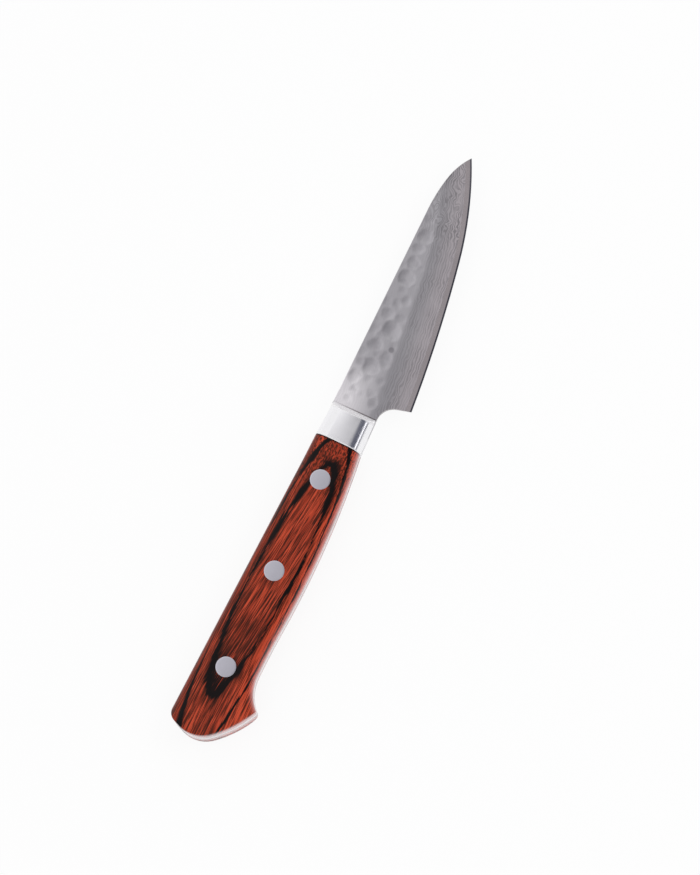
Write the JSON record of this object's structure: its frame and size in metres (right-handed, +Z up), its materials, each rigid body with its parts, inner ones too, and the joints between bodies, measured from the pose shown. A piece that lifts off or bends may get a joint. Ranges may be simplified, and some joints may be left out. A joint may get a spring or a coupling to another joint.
{
  "type": "paring knife",
  "caption": "Small kitchen knife with a hammered layered-steel blade, a metal bolster and a riveted red-brown laminated-wood handle with a hooked butt.",
  "frame": {"origin": "on the surface the knife lies on, under the middle of its bounding box", "axes": "+X towards the tip, +Y towards the back of the blade, +Z up out of the knife's right side; the knife lies on its left side"},
  "size_m": [0.1941, 0.0239, 0.0124],
  "materials": {
    "hammered_cladding": "etched layered steel, hammered towards the back",
    "core_steel": "ground and honed",
    "bolster_steel": "satin to polished",
    "tang_steel": "ground flush",
    "rivet_steel": "ground flush, satin",
    "laminated_wood": "resin-filled, polished, red with black layers"
  },
  "bodies": {
    "root": {"blade_core": "core_steel", "right_cladding": "hammered_cladding", "left_cladding": "hammered_cladding", "tang": "tang_steel", "right_bolster": "bolster_steel", "left_bolster": "bolster_steel", "right_scale": "laminated_wood", "left_scale": "laminated_wood", "front_rivet_pin": "rivet_steel", "front_rivet_sleeve": "rivet_steel", "middle_rivet_pin": "rivet_steel", "middle_rivet_sleeve": "rivet_steel", "rear_rivet_pin": "rivet_steel", "rear_rivet_sleeve": "rivet_steel"}
  },
  "joints": []
}
